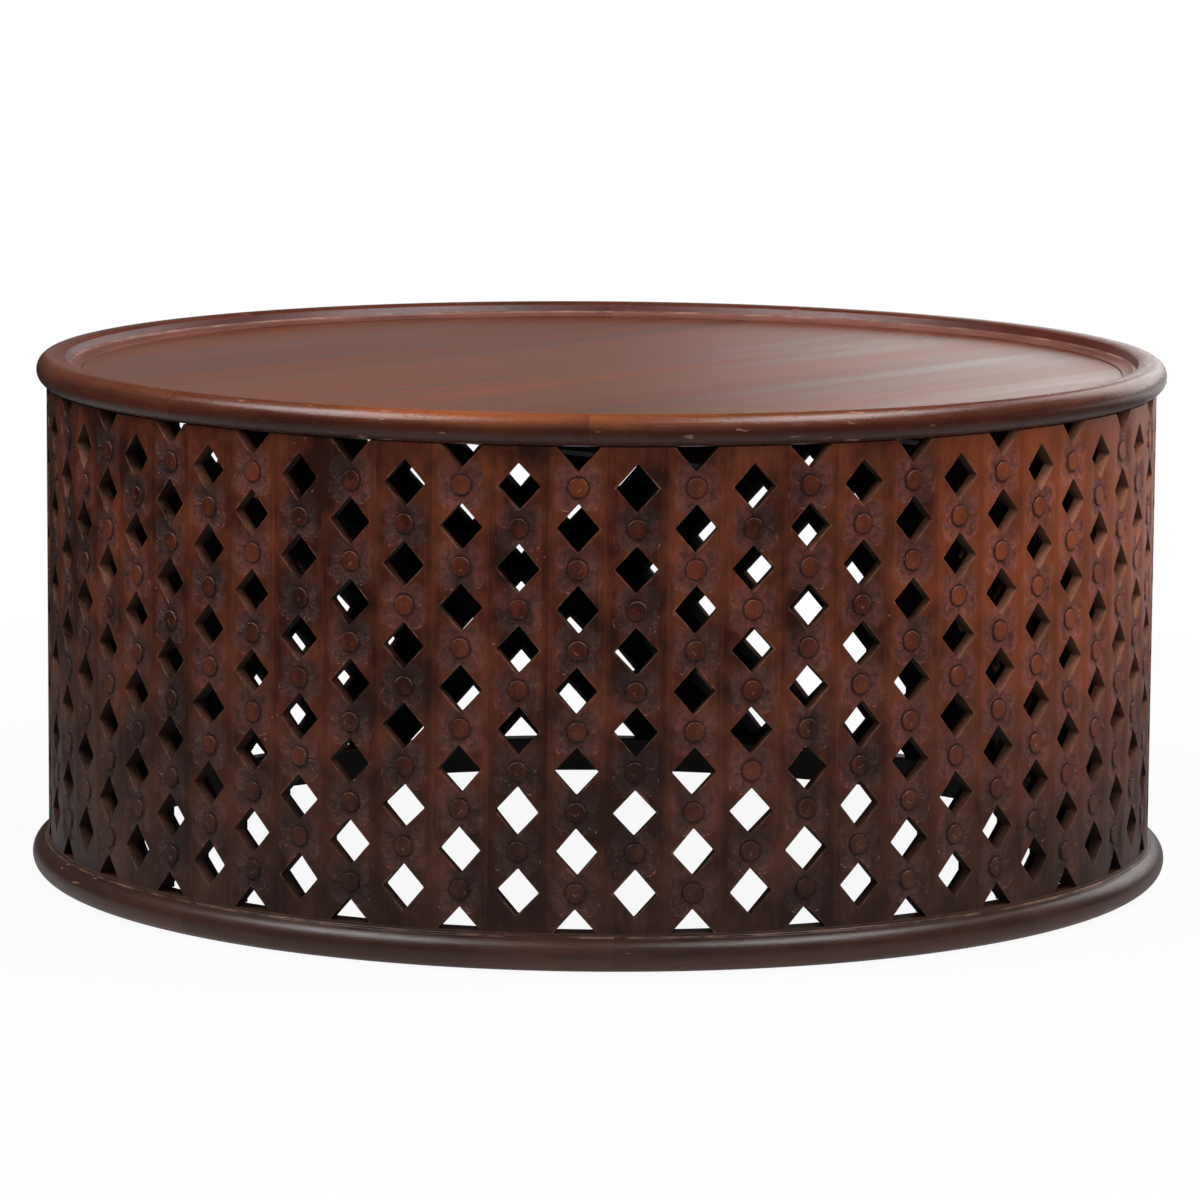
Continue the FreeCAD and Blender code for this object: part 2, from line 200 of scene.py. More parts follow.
def new_material(name):
    """A material with nodes, its Nodes and the object coordinates."""
    material = bpy.data.materials.new(name)
    material.use_nodes = True
    nodes = Nodes(material.node_tree)
    return material, nodes, nodes.add("TexCoord").outputs["Object"]


# %% [markdown]
# ## The places on the wall
# Staining and carving follow the staves, not the room. This group turns a point of the
# object into what a carver would say of it: which stave it is on, how far across and up,
# how deep in the wood, and how far from the nearest rosette and diamond. Every finish of the
# wall reads it, so colours and marks fall where the carving is.

# %% Group: wall places
WALL_RADIUS, WALL_BOTTOM, WALL_TOP = 442, 28, 388
STAVE_THICKNESS, STAVE_COUNT = 20, 64
ROW_PITCH = 60
DIAMOND_WIDTH, DIAMOND_HEIGHT = 32.5, 36
PETAL_RADIUS, PETAL_OFFSET, BUTTON_RADIUS = 9.4, 7.9, 7
SAWN_DEPTH = 10  # behind it the diamonds open out towards the inside
TO_DIAMOND_EDGE = 11.7  # mm from a diamond's middle
STAVE_TURN = 2 * math.pi / STAVE_COUNT


def round_axis(nodes, vector):
    """Of a point: its height, its distance from the drum's axis and its angle from the front."""
    xyz = nodes.split(vector)
    around = nodes.plus(nodes.math("ARCTAN2", xyz["Y"], xyz["X"]), math.pi / 2)
    return xyz["Z"], nodes.length(xyz["X"], xyz["Y"]), around


def from_row(first_height, last_row):
    """Height above the nearest of a stave's rows, in mm, and that row's number."""
    rows = nodes.math("DIVIDE", nodes.minus(height, first_height), ROW_PITCH)
    row = nodes.math("MINIMUM", nodes.math("MAXIMUM", nodes.math("ROUND", rows), 0), last_row)
    return nodes.times(nodes.minus(rows, row), ROW_PITCH), row


nodes, given, made = new_group(
    "wall places", "Vector",
    "Stave Across Height Depth Petals Button Turn Diamond Rosette Rise Batch")
z, outward, around = round_axis(nodes, given["Vector"])
height = nodes.math("DIVIDE", z, MM)
stave_place = nodes.math("DIVIDE", around, STAVE_TURN)
stave_number = nodes.math("ROUND", stave_place)
across = nodes.times(nodes.minus(stave_place, stave_number), STAVE_TURN * WALL_RADIUS)
stave_index = nodes.math("FLOORED_MODULO", stave_number, STAVE_COUNT)
odd = nodes.math("FLOORED_MODULO", stave_index, 2)
half_row = ROW_PITCH / 2
rosette_up, rosette_row = from_row(nodes.times_plus(odd, half_row, WALL_BOTTOM + half_row),
                                   nodes.minus(5, odd))
diamond_up, _ = from_row(nodes.times_plus(odd, half_row, WALL_BOTTOM), 6)
side = nodes.math("ABSOLUTE", across)
from_petal = nodes.length(nodes.minus(side, PETAL_OFFSET),
                          nodes.minus(nodes.math("ABSOLUTE", rosette_up), PETAL_OFFSET))
diamond_share = nodes.plus(
    nodes.math("DIVIDE", side, DIAMOND_WIDTH / 2),
    nodes.math("DIVIDE", nodes.math("ABSOLUTE", diamond_up), DIAMOND_HEIGHT / 2))
nodes.give(made, Stave=nodes.chance(stave_index), Across=across, Height=height,
           Depth=nodes.minus(WALL_RADIUS, nodes.math("DIVIDE", outward, MM)),
           Petals=nodes.minus(from_petal, PETAL_RADIUS), Button=nodes.length(across, rosette_up),
           Turn=nodes.math("ARCTAN2", rosette_up, across),
           Diamond=nodes.times(nodes.minus(diamond_share, 1), TO_DIAMOND_EDGE),
           Rosette=nodes.times_plus(stave_index, 7, rosette_row), Rise=diamond_up,
           Batch=nodes.math("MINIMUM", nodes.fit(stave_index, 5.6, 8.6, 0.12, 1),
                            nodes.fit(stave_index, 18, 30, 1, 0)))
print("group 'wall places' has", len(nodes.tree.nodes), "nodes")

# %% [markdown]
# ## Wood grain
# All of the table is one hardwood, so all its finishes share one grain. It is noise drawn out
# along the grain: broad bands of lighter and darker wood, and fine pores. The vector's Z axis
# runs along the grain, and each finish turns or wraps its own coordinates to suit the piece.

# %% Group: wood grain
nodes, given, made = new_group("wood grain", "Vector Width", "Bands Streaks Pores")
width = given["Width"]
wobble = nodes.times(nodes.noise(nodes.scaled(given["Vector"], 8, 8, 3), 1.0, 1), 0.012)
bent = nodes.math("ADD", given["Vector"], nodes.vector(wobble, 0.0, 0.0), kind="VectorMath")
drawn_out = nodes.scaled(bent, 1, 1, 0.05)
pores = nodes.noise(nodes.scaled(bent, 1, 1, 0.03), nodes.math("DIVIDE", 22.0, width), 1)
nodes.give(made, Bands=nodes.noise(drawn_out, nodes.math("DIVIDE", 0.9, width), 2, 0.55),
           Streaks=nodes.noise(drawn_out, nodes.math("DIVIDE", 5.0, width), 3, 0.6),
           Pores=nodes.fit(pores, 0.56, 0.7))
print("group 'wood grain' has", len(nodes.tree.nodes), "nodes")

# %% [markdown]
# ## Wear
# Handling leaves pale nicks and short scratches in the varnish, and dust in its corners. One
# group gives all three as masks, so that each finish can colour them in its own way.

# %% Group: wear
nodes, given, made = new_group("wear", "Vector Amount", "Nicks Scratches Dust Ripple")
patchy = nodes.noise(given["Vector"], 14, 2)
jagged = nodes.add("TexNoise", Vector=given["Vector"], Scale=420.0, Detail=2.0).outputs["Color"]
crooked = nodes.math("MULTIPLY_ADD", jagged, (0.006, 0.006, 0.006), given["Vector"],
                     kind="VectorMath")
cells = nodes.add("TexVoronoi", {"feature": "F1"}, Vector=crooked, Scale=190, Randomness=1.0)
chosen = nodes.add("SeparateColor", Color=cells.outputs["Color"]).outputs[0]
rare = nodes.math("GREATER_THAN", nodes.times(chosen, patchy),
                  nodes.minus(0.66, given["Amount"]))
lines = nodes.noise(nodes.scaled(given["Vector"], 60, 60, 900), 1.0, 2, 0.7)
gaps = nodes.fit(nodes.noise(given["Vector"], 22, 1), 0.6, 0.68)
nodes.give(made, Nicks=nodes.times(rare, nodes.fit(cells.outputs["Distance"], 0.1, 0.28, 1, 0)),
           Scratches=nodes.times(nodes.fit(lines, 0.66, 0.72), gaps),
           Dust=nodes.fit(nodes.noise(given["Vector"], 420, 3, 0.7), 0.5, 0.75),
           Ripple=nodes.noise(given["Vector"], 260, 2))
print("group 'wear' has", len(nodes.tree.nodes), "nodes")

# %% [markdown]
# ## Chisel marks
# The hollows round each button were cut with a gouge, in strokes that fan out from the button.
# Noise on polar coordinates gives such strokes. The angle goes round as a sine and a cosine,
# so that it has no seam, and each rosette takes its own slice of the noise.

# %% Group: chisel marks
nodes, given, made = new_group("chisel marks", "Button Turn Rosette", "Height Pale")
cosine, sine = nodes.math("COSINE", given["Turn"]), nodes.math("SINE", given["Turn"])
strokes = nodes.vector(nodes.times(cosine, 3.2), nodes.times(sine, 3.2),
                       nodes.times_plus(given["Button"], 0.09, nodes.times(given["Rosette"], 3.7)))
fan = nodes.noise(strokes, 2.2, 4, 0.7)
broken = nodes.fit(nodes.noise(strokes, 9.0, 2), 0.5, 0.62)
# Glints are pale flecks on the strokes, more on the lower side of the button: a painted highlight
# where the strokes face the light from above
lit_lower_side = nodes.fit(sine, -0.6, 0.5, 1.0, 0.25)
nodes.give(made, Height=fan,
           Pale=nodes.times(nodes.fit(fan, 0.6, 0.66), nodes.times(broken, lit_lower_side)))
print("group 'chisel marks' has", len(nodes.tree.nodes), "nodes")

# %% [markdown]
# ## Finishes of the wall
# The flat lands between the carving were sanded, stained and varnished, so they are smooth and
# warm. The gouged hollows took the stain unevenly and stayed dull and purplish. The sawn walls
# of the diamonds are rough, and their colour is darkened towards the inside and on their upper
# faces, as painted shade. Four materials share the groups above; booleans later give each cut
# face the material of the tool that cut it.

# %% Material: varnished land
def wall_material(name):
    """A new material with the places on the wall, the wood's own place, and its grain, which
    runs up the stave and is each stave's own."""
    material, nodes, place = new_material(name)
    wall = use_group(nodes, "wall places", Vector=place)
    own_wood = nodes.times(wall["Stave"], 9.0)
    wood = nodes.vector(nodes.times_plus(wall["Across"], MM, own_wood),
                        nodes.times(wall["Depth"], MM), nodes.times(wall["Height"], MM))
    grain = use_group(nodes, "wood grain", Vector=wood, Width=0.012)
    return material, nodes, place, wall, wood, grain


def tones_by_height(nodes, place, wall, grain, upper, lower):
    """Colour by height, each as a deep and a light tone, varied by stave, cloud and grain. The
    lower tones that callers give are darker and greyer; the grey is a painted reflection of the
    pale floor.
    """
    clouds = nodes.noise(nodes.scaled(place, 1, 1, 0.7), 24, 5, 0.62)
    pale_wood = nodes.times(wall["Batch"], nodes.fit(wall["Height"], 50, 200))
    tone = nodes.times(wall["Stave"], 0.1)
    for part, amount in ((clouds, 1.25), (grain["Bands"], 0.3), (grain["Streaks"], 0.25),
                         (pale_wood, 0.38)):
        tone = nodes.times_plus(part, amount, tone)
    light = nodes.fit(tone, 0.79, 1.43)
    height = nodes.fit(wall["Height"], 40, 270)
    return nodes.mix(height, nodes.mix(light, *lower), nodes.mix(light, *upper))


def stain_and_painted_light(nodes, place, wall, grain):
    """Colour of land and hollow alike, which run into each other, and where it is carved. It also
    holds a painted shadow in the groove round each button and painted highlights on the petals.
    """
    land = tones_by_height(nodes, place, wall, grain, ((48, 20, 12), (130, 64, 34)),
                   ((44, 26, 22), (88, 53, 43)))
    hollow = tones_by_height(nodes, place, wall, grain, ((52, 26, 21), (142, 76, 58)),
                     ((46, 28, 25), (104, 63, 54)))
    torn = nodes.times_plus(nodes.noise(place, 150, 3, 0.65), 12.0, -6.0)
    carved = nodes.times(
        nodes.fit(nodes.plus(wall["Petals"], torn), -2.5, 2.5, 1.0, 0.0, smooth=True),
        nodes.fit(wall["Button"], BUTTON_RADIUS - 0.4, BUTTON_RADIUS + 0.4))
    colour = nodes.mix(carved, land, hollow)
    # painted shadow: a dark ring in the groove round each button
    from_groove = nodes.math("ABSOLUTE", nodes.minus(wall["Button"], BUTTON_RADIUS + 0.9))
    colour = nodes.mix(nodes.fit(from_groove, 0.2, 1.5, 0.75, 0), colour, (24, 12, 9))
    # painted highlight: a pale broken line along the petals' edge on the lower half of each
    # rosette, where the edge faces the light from above
    lit_lower_half = nodes.times(nodes.fit(nodes.noise(place, 300, 3), 0.54, 0.66),
                            nodes.fit(nodes.math("SINE", wall["Turn"]), -0.7, 0.4, 0.5, 0.0))
    edge = nodes.math("ABSOLUTE", nodes.times_plus(torn, 0.12, wall["Petals"]))
    lip_highlight = nodes.times(nodes.fit(edge, 0.2, 0.6, 1, 0), lit_lower_half)
    colour = nodes.mix(lip_highlight, colour, (166, 124, 108))
    return nodes.mix(nodes.times(grain["Pores"], 0.4), colour, (28, 12, 8)), carved


varnished_land, nodes, place, wall, wood, grain = wall_material("varnished_land")
wear = use_group(nodes, "wear", Vector=place, Amount=0.05)
colour, carved = stain_and_painted_light(nodes, place, wall, grain)
worn = nodes.times(nodes.fit(wall["Diamond"], 0.3, 1.2, 0.35, 0.0),
                   nodes.fit(nodes.noise(place, 130, 3, 0.6), 0.45, 0.65))
worn = nodes.math("MAXIMUM", worn, nodes.times(wear["Nicks"], 0.6))
gloss = nodes.plus(nodes.fit(grain["Bands"], 0.3, 0.7, 0.36, 0.46), nodes.times(carved, 0.2))
raised_grain = nodes.noise(nodes.scaled(place, 1, 1, 0.06), 420, 2)
surface = nodes.plus(nodes.times(wear["Ripple"], 0.8),
                     nodes.plus(nodes.times(raised_grain, 0.5), nodes.times(wear["Nicks"], -1.0)))
nodes.finish(nodes.mix(worn, colour, (160, 110, 88)), gloss, surface,
             0.4, 0.0006, specular=0.22)

# %% Material: gouged hollow
gouged_hollow, nodes, place, wall, wood, grain = wall_material("gouged_hollow")
marks = use_group(nodes, "chisel marks", Button=wall["Button"], Turn=wall["Turn"],
                  Rosette=wall["Rosette"])
colour, carved = stain_and_painted_light(nodes, place, wall, grain)
deep_mottle = nodes.fit(nodes.noise(place, 190, 4, 0.65), 0.42, 0.66, 0.0, 0.6)
colour = nodes.mix(nodes.times(deep_mottle, carved), colour, (38, 20, 18))
# painted highlight: pale glints on the chisel strokes
colour = nodes.mix(nodes.times(marks["Pale"], 0.55), colour, (168, 128, 112))
fibres = nodes.times(nodes.noise(place, 520, 3, 0.6), 0.35)
nodes.finish(colour, nodes.fit(marks["Height"], 0.3, 0.7, 0.55, 0.3),
             nodes.plus(marks["Height"], fibres), 0.85, 0.0016, specular=0.4)

# %% Material: sawn diamond wall
sawn_wall, nodes, place, wall, wood, grain = wall_material("sawn_wall")
wear = use_group(nodes, "wear", Vector=place, Amount=0.1)
colour = tones_by_height(nodes, place, wall, grain, ((48, 30, 24), (178, 121, 95)),
                 ((46, 33, 29), (104, 70, 58)))
colour = nodes.mix(nodes.times(wear["Dust"], 0.4), colour, (30, 20, 16))
# painted shade: the upper faces of each diamond, which face down, are darkened
colour = nodes.mix(nodes.fit(wall["Rise"], -2, 1, 0.0, 0.75), colour, (26, 16, 13))
# painted shade: darker deeper into the hole
colour = nodes.mix(nodes.fit(wall["Depth"], 1.5, SAWN_DEPTH, 0.0, 0.45), colour, (14, 9, 8))
saw_marks = nodes.noise(nodes.scaled(wood, 1, 1, 5), 500, 2)
nodes.finish(colour, nodes.fit(grain["Streaks"], 0.3, 0.7, 0.75, 0.9),
             saw_marks, 0.5, 0.0008, specular=0.12)

# %% Material: worn and lit edge
worn_and_lit_edge, nodes, place, wall, wood, grain = wall_material("worn_and_lit_edge")
wear = use_group(nodes, "wear", Vector=place, Amount=0.1)
colour = tones_by_height(nodes, place, wall, grain, ((60, 33, 25), (120, 68, 46)),
                 ((42, 25, 21), (84, 50, 40)))
# pale edges: wear, and a painted highlight that is stronger on the lower edges of each diamond,
# whose chamfers face the light from above
pale_marks = nodes.times(nodes.fit(nodes.noise(place, 110, 3, 0.6), 0.42, 0.62, 0.0, 0.6),
                     nodes.times(nodes.fit(wall["Height"], 60, 220, 0.2, 1),
                                 nodes.fit(wall["Rise"], -3, 1, 1, 0.15)))
nodes.finish(nodes.mix(pale_marks, colour, (150, 106, 88)),
             nodes.fit(pale_marks, 0, 1, 0.4, 0.6), wear["Ripple"], 0.4, 0.0005, specular=0.35)

# %% Material: dark inside
# The inside of the wall and the backs of the diamonds are coloured near black: painted shade, as
# the inside of the drum gets little light.
dark_inside, nodes, place, wall, wood, grain = wall_material("dark_inside")
colour = nodes.mix(grain["Bands"], (9, 6, 5), (15, 9, 8))
colour = nodes.mix(nodes.times(grain["Streaks"], 0.5), colour, (8, 5, 4))
nodes.finish(colour, nodes.fit(grain["Streaks"], 0.3, 0.7, 0.8, 0.95),
             grain["Streaks"], 0.4, 0.0008, specular=0.1)
print("wall finishes:", ", ".join(m.name for m in (varnished_land, gouged_hollow, sawn_wall,
                                                   worn_and_lit_edge, dark_inside)))

# %% [markdown]
# ## Helpers for modelling
# Operators act on whatever is active and selected, as a hand does. These helpers set that up:
# they start a piece from a primitive, pick faces or edges by a test, and apply a cut.

# %% Modelling helpers
def alone(piece):
    """Selects this piece and no other."""
    bpy.ops.object.select_all(action="DESELECT")
    piece.select_set(True)
    bpy.context.view_layer.objects.active = piece


def primitive(operator, name, **settings):
    """Adds a primitive by its operator, with nothing else selected."""
    bpy.ops.object.select_all(action="DESELECT")
    operator(**settings)
    piece = bpy.context.view_layer.objects.active
    piece.name = piece.data.name = name
    return piece


def rest_place(piece):
    """Moves a piece's place into its mesh, so that its object sits at the origin."""
    alone(piece)
    bpy.ops.object.transform_apply(location=True, rotation=True, scale=True)


def edit(piece, mode="FACE"):
    alone(piece)
    bpy.ops.object.mode_set(mode="EDIT")
    bpy.ops.mesh.select_mode(type=mode)
    bpy.ops.mesh.select_all(action="DESELECT")
    return bmesh.from_edit_mesh(piece.data)


def finish_edit():
    bpy.ops.object.mode_set(mode="OBJECT")


def close_up():
    """Merges the doubles of the open mesh, turns its faces outwards and leaves it."""
    bpy.ops.mesh.select_all(action="SELECT")
    bpy.ops.mesh.remove_doubles(threshold=0.001 * MM)
    bpy.ops.mesh.normals_make_consistent(inside=False)
    finish_edit()


def pick(piece, shape, kind, test):
    """Selects the faces, edges or verts of an open mesh that pass the test."""
    parts = getattr(shape, kind)
    for part in parts:
        part.select = bool(test(part))
    shape.select_flush_mode()
    bmesh.update_edit_mesh(piece.data)


def cut(piece, tool):
    """Applies a boolean; cut faces take the tool's materials. The tool is used up."""
    alone(piece)
    modifier = piece.modifiers.new("cut", "BOOLEAN")
    modifier.object = tool
    modifier.operation = "DIFFERENCE"
    modifier.solver = "EXACT"
    modifier.material_mode = "TRANSFER"
    bpy.ops.object.modifier_apply(modifier=modifier.name)
    bpy.data.objects.remove(tool)


def joined(pieces):
    bpy.ops.object.select_all(action="DESELECT")
    for piece in pieces:
        piece.select_set(True)
    bpy.context.view_layer.objects.active = pieces[0]
    bpy.ops.object.join()
    return pieces[0]


def wear_material(piece, *materials):
    piece.data.materials.clear()
    for material in materials:
        piece.data.materials.append(material)


def copy_of(piece, name, matrix=Matrix.Identity(4)):
    """A copy with its own mesh, moved within that mesh."""
    twin = piece.copy()
    twin.data = piece.data.copy()
    twin.name = twin.data.name = name
    twin.data.transform(matrix)
    bpy.context.scene.collection.objects.link(twin)
    return twin


# %% [markdown]
# ## The stave blank
# A stave is one upright board of the drum. Its faces lie on two circles and its joints point
# at the axis, so a cube would need bending. Spinning an upright rectangle through one stave's
# share of the circle gives that shape at once. The long corners are eased a little, which
# draws the fine line that shows where two staves meet.

# %% Stave blank
SPIN_STEPS = 8


def stave_blank():
    middle_radius, middle_height = WALL_RADIUS - STAVE_THICKNESS / 2, (WALL_BOTTOM + WALL_TOP) / 2
    blank = primitive(bpy.ops.mesh.primitive_plane_add, "stave_blank", size=MM,
                      rotation=(0, math.pi / 2, 0),
                      location=(0, -middle_radius * MM, middle_height * MM))
    blank.scale = (WALL_TOP - WALL_BOTTOM, STAVE_THICKNESS, 1)
    rest_place(blank)
    shape = edit(blank)
    bpy.ops.mesh.select_all(action="SELECT")
    bpy.ops.transform.rotate(value=STAVE_TURN / 2, orient_axis="Z", center_override=(0, 0, 0))
    started_left = all(v.co.x < 0 for v in shape.verts)
    bpy.ops.mesh.spin(steps=SPIN_STEPS, angle=-STAVE_TURN if started_left else STAVE_TURN,
                      center=(0, 0, 0), axis=(0, 0, 1))
    close_up()
    return blank


blank = stave_blank()
wear_material(blank, varnished_land, dark_inside)
inner_limit = (WALL_RADIUS - STAVE_THICKNESS / 4) * MM
for face in blank.data.polygons:
    face.material_index = int(math.hypot(face.center.x, face.center.y) < inner_limit)
shape = edit(blank, "EDGE")
half_width = WALL_RADIUS * math.sin(STAVE_TURN / 2)
pick(blank, shape, "edges", lambda e: abs(e.verts[0].co.z - e.verts[1].co.z) > ROW_PITCH * MM
     and abs(e.verts[0].co.x) > (half_width - 0.1) * MM)
bpy.ops.mesh.bevel(offset=0.05 * MM, segments=1)
finish_edit()
print("stave blank", [round(d / MM, 2) for d in blank.dimensions], len(blank.data.polygons),
      "faces")

# %% [markdown]
# ## The two cutting tools
# A diamond is sawn right through and its front edge is rubbed round. The tool for it is a
# four-sided prism with eased corners, whose last millimetre flares outwards to make the
# rubbed edge. Behind the first 10 mm it opens out again, as the back of such a hole is
# cleared with a knife, so more light comes through. A rosette is four gouged hollows round a
# button that stays at full height. Its tool has to be closed and has a hole where the button
# stands, as a torus has, so a torus is the start. Each of its small rings is laid out as a
# section through the hollow, from the button's side down to the floor and up to the petal's
# edge, a gouge stroke deep or shallow.

# %% Diamond tool
CHAMFER, BACK_FLARE, EASED_CORNER = 0.4, 4.5, 0.8


def diamond_tool():
    inside, outside = WALL_RADIUS - SAWN_DEPTH, WALL_RADIUS - CHAMFER
    tool = primitive(bpy.ops.mesh.primitive_cylinder_add, "diamond_tool", vertices=4, radius=1,
                     depth=1, rotation=(math.pi / 2, 0, 0),
                     location=(0, -(inside + outside) / 2 * MM, 0))
    tool.scale = (DIAMOND_WIDTH / 2 * MM, DIAMOND_HEIGHT / 2 * MM, (outside - inside) * MM)
    rest_place(tool)
    wear_material(tool, sawn_wall, worn_and_lit_edge, dark_inside)
    shape = edit(tool, "EDGE")
    pick(tool, shape, "edges", lambda e: abs(e.verts[0].co.y - e.verts[1].co.y) > 2 * MM)
    bpy.ops.mesh.bevel(offset=EASED_CORNER * MM, segments=2)
    bpy.ops.mesh.select_mode(type="FACE")
    pick(tool, shape, "faces", lambda f: f.normal.y < -0.9)
    flare = CHAMFER * 3
    to_edge = DIAMOND_WIDTH * DIAMOND_HEIGHT / 2 / math.hypot(DIAMOND_WIDTH, DIAMOND_HEIGHT)
    bpy.ops.mesh.extrude_region_move(TRANSFORM_OT_translate={"value": (0, -flare * MM, 0)})
    bpy.ops.transform.resize(value=(1 + flare / to_edge, 1, 1 + flare / to_edge),
                             center_override=(0, -(outside + flare) * MM, 0))
    pick(tool, shape, "faces", lambda f: f.normal.y > 0.9)
    reach = STAVE_THICKNESS + 4 - SAWN_DEPTH
    wider = 1 + BACK_FLARE * reach / (STAVE_THICKNESS - SAWN_DEPTH) / to_edge
    bpy.ops.mesh.extrude_region_move(TRANSFORM_OT_translate={"value": (0, reach * MM, 0)})
    bpy.ops.transform.resize(value=(wider, 1, wider),
                             center_override=(0, -(inside - reach) * MM, 0))
    finish_edit()
    for face in tool.data.polygons:
        if face.center.y < -outside * MM - MM / 10:
            face.material_index = 1
        elif face.center.y > -inside * MM + MM / 10:
            face.material_index = 2
    return tool


master_diamond = diamond_tool()
print("diamond tool", [round(d / MM, 1) for d in master_diamond.dimensions])

# %% Rosette tool
PETAL_STEPS = 44
HOLLOW_SECTION = [  # share of the way from button to petal edge, and depth in mm
    (-0.04, -3.0), (-0.04, 0.0), (0.0, 0.45), (0.02, 1.4), (0.14, 1.5), (0.4, 1.25),
    (0.66, 0.95), (0.88, 0.35), (1.0, 0.0), (1.05, -3.0)]
BUTTON_EDGE = {1, 2}  # the points of the section between which the button's edge is pale: worn, with a painted highlight


def petal_edge(turn):
    """Distance from the button's centre to the edge of the four petals."""
    to_petal = PETAL_OFFSET * math.sqrt(2)
    off_axis = (turn - math.pi / 4) % (math.pi / 2)
    off_axis = min(off_axis, math.pi / 2 - off_axis)
    across = to_petal * math.sin(off_axis)
    return to_petal * math.cos(off_axis) + math.sqrt(PETAL_RADIUS ** 2 - across ** 2)


def rosette_tool(dice, height):
    """A ring whose inner side is the button and whose underside is the gouged hollow."""
    tool = primitive(bpy.ops.mesh.primitive_torus_add, "rosette_tool",
                     major_segments=PETAL_STEPS, minor_segments=len(HOLLOW_SECTION),
                     major_radius=15 * MM, minor_radius=5 * MM)
    across, up = dice.uniform(-0.5, 0.5), height + dice.uniform(-0.5, 0.5)
    tilt, spread = dice.uniform(-0.08, 0.08), dice.uniform(0.96, 1.04)
    lobes = [dice.uniform(0.9, 1.06) for _ in range(4)]
    for step in range(PETAL_STEPS):
        turn = 2 * math.pi * step / PETAL_STEPS
        stroke = dice.uniform(-0.25, 0.25)
        edge = petal_edge(turn) * spread * lobes[int(turn / (math.pi / 2))]
        edge += dice.uniform(-0.4, 0.4)
        for k, (share, depth) in enumerate(HOLLOW_SECTION):
            reach = BUTTON_RADIUS + share * (edge - BUTTON_RADIUS)
            if 0.1 < share < 0.8:
                depth += stroke
            vertex = tool.data.vertices[step * len(HOLLOW_SECTION) + k]
            vertex.co = ((across + reach * math.cos(turn + tilt)) * MM,
                         -(WALL_RADIUS - depth) * MM,
                         (up + reach * math.sin(turn + tilt)) * MM)
    wear_material(tool, gouged_hollow, worn_and_lit_edge)
    for face in tool.data.polygons:
        strip = {vertex % len(HOLLOW_SECTION) for vertex in face.vertices}
        face.material_index = int(strip == BUTTON_EDGE)
    edit(tool)
    bpy.ops.mesh.select_all(action="SELECT")
    bpy.ops.mesh.quads_convert_to_tris(quad_method="BEAUTY")
    bpy.ops.mesh.normals_make_consistent(inside=False)
    finish_edit()
    return tool


# %% [markdown]
# ## Eight carved staves
# No two diamonds of a hand-cut wall are quite alike. Each stave gets its own set of tools,
# copied from the two masters and turned, shifted and stretched by a little, with the seed
# fixed so that every run cuts the same wall. Four staves of each kind are enough: set round
# the drum in a changed order, they hide that they repeat.

# %% Carve the staves
def diamond_by_hand(dice, height):
    """A copy of the diamond tool at this height, a little out of true."""
    def about(amount):
        return dice.uniform(-amount, amount)
    to_centre = Matrix.Translation((0, WALL_RADIUS * MM, 0))
    turn = Matrix.Rotation(math.radians(about(2.0)), 4, "Y")
    scale = Matrix.Diagonal((1 + about(0.035), 1, 1 + about(0.035), 1))
    shear = Matrix.Shear("XZ", 4, (about(0.04), about(0.04)))
    place = Matrix.Translation((about(0.4) * MM, -WALL_RADIUS * MM, (height + about(0.4)) * MM))
    return copy_of(master_diamond, "tool", place @ turn @ shear @ scale @ to_centre)


def carved_stave(name, dice, diamond_heights, rosette_heights):
    stave = copy_of(blank, name)
    cut(stave, joined([rosette_tool(dice, z) for z in rosette_heights]))
    cut(stave, joined([diamond_by_hand(dice, z) for z in diamond_heights]))
    edit(stave, "VERT")
    bpy.ops.mesh.select_all(action="SELECT")
    bpy.ops.mesh.remove_doubles(threshold=0.01 * MM)
    finish_edit()
    bpy.ops.object.shade_smooth_by_angle(angle=math.radians(28))
    return stave


dice = random.Random(64)
rows = [WALL_BOTTOM + ROW_PITCH * k for k in range(7)]
between = [z + ROW_PITCH / 2 for z in rows[:-1]]
full_staves = [carved_stave("full_stave_%d" % k, dice, between, rows[1:-1]) for k in range(4)]
half_staves = [carved_stave("half_stave_%d" % k, dice, rows, between) for k in range(4)]
for stave in full_staves + half_staves:
    faces = sum(len(p.vertices) - 2 for p in stave.data.polygons)
    print(stave.name, faces, "triangles, materials", [m.name for m in stave.data.materials])

# %% [markdown]
# ## The wall
# The staves stand in pairs, as the CAD nodes do: one with whole diamonds in every row, and
# one carved half a row higher. Each pair is turned to its place, and takes another of the
# four carvings each time. A stave also sits a hair deeper than its neighbour, as glued and
# hand-sanded staves do, so the joints catch the light differently along the wall.

# %% Set the staves round the drum
dice = random.Random(32)
wall_pieces = []
for k in range(STAVE_COUNT // 2):
    pair = []
    for kind, staves in enumerate((full_staves, half_staves)):
        turn = Matrix.Rotation(STAVE_TURN * (2 * k + 1 + kind), 4, "Z")
        inwards = Matrix.Translation((0, dice.uniform(0, 0.03) * MM, 0))
        stave = staves[(k * (3 if kind else 1) + k // 4 + kind) % 4]
        pair.append(copy_of(stave, "carved_stave", turn @ inwards))
    piece = joined(pair)
    piece.name = piece.data.name = "carved_staves_%02d" % (k + 1)
    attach(piece, "root")
    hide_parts("stave_pair_%02d" % (k + 1))
    wall_pieces.append(piece)
for stave in full_staves + half_staves + [blank, master_diamond]:
    bpy.data.objects.remove(stave)
total = sum(len(p.vertices) - 2 for piece in wall_pieces for p in piece.data.polygons)
print(len(wall_pieces), "pairs of carved staves,", total, "triangles")

